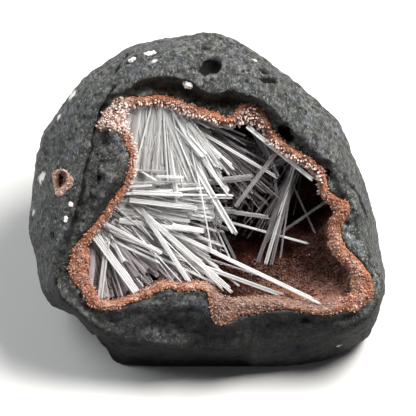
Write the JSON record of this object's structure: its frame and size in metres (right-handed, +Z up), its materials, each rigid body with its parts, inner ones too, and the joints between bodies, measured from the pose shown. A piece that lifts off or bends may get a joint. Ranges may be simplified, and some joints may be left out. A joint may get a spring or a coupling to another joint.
{
  "type": "scolecite geode",
  "caption": "Basalt nodule broken open, its hollow lined with a peach druse and filled with sprays of long white scolecite needles.",
  "frame": {"origin": "centre of the nodule's own box at its base, on the surface it rests on", "axes": "+X to the right of the broken face, along the nodule's length, +Y to its back, +Z up along its shortest side"},
  "size_m": [0.1193, 0.1002, 0.0842],
  "materials": {
    "basalt": "weathered dark grey-green basalt, dull, with fine light specks and small black pores",
    "druse": "peach and orange crust of small crystals with whitish glinting tips",
    "scolecite": "white to clear vitreous needles with a silky gloss",
    "amygdale": "milky white mineral, slightly glossy"
  },
  "bodies": {
    "root": {"basalt_nodule": "basalt", "druse_lining": "druse", "scolecite_needles": "scolecite", "vug_lining": "druse", "amygdale_1": "amygdale", "amygdale_2": "amygdale", "amygdale_3": "amygdale", "amygdale_4": "amygdale", "amygdale_5": "amygdale"}
  },
  "joints": []
}
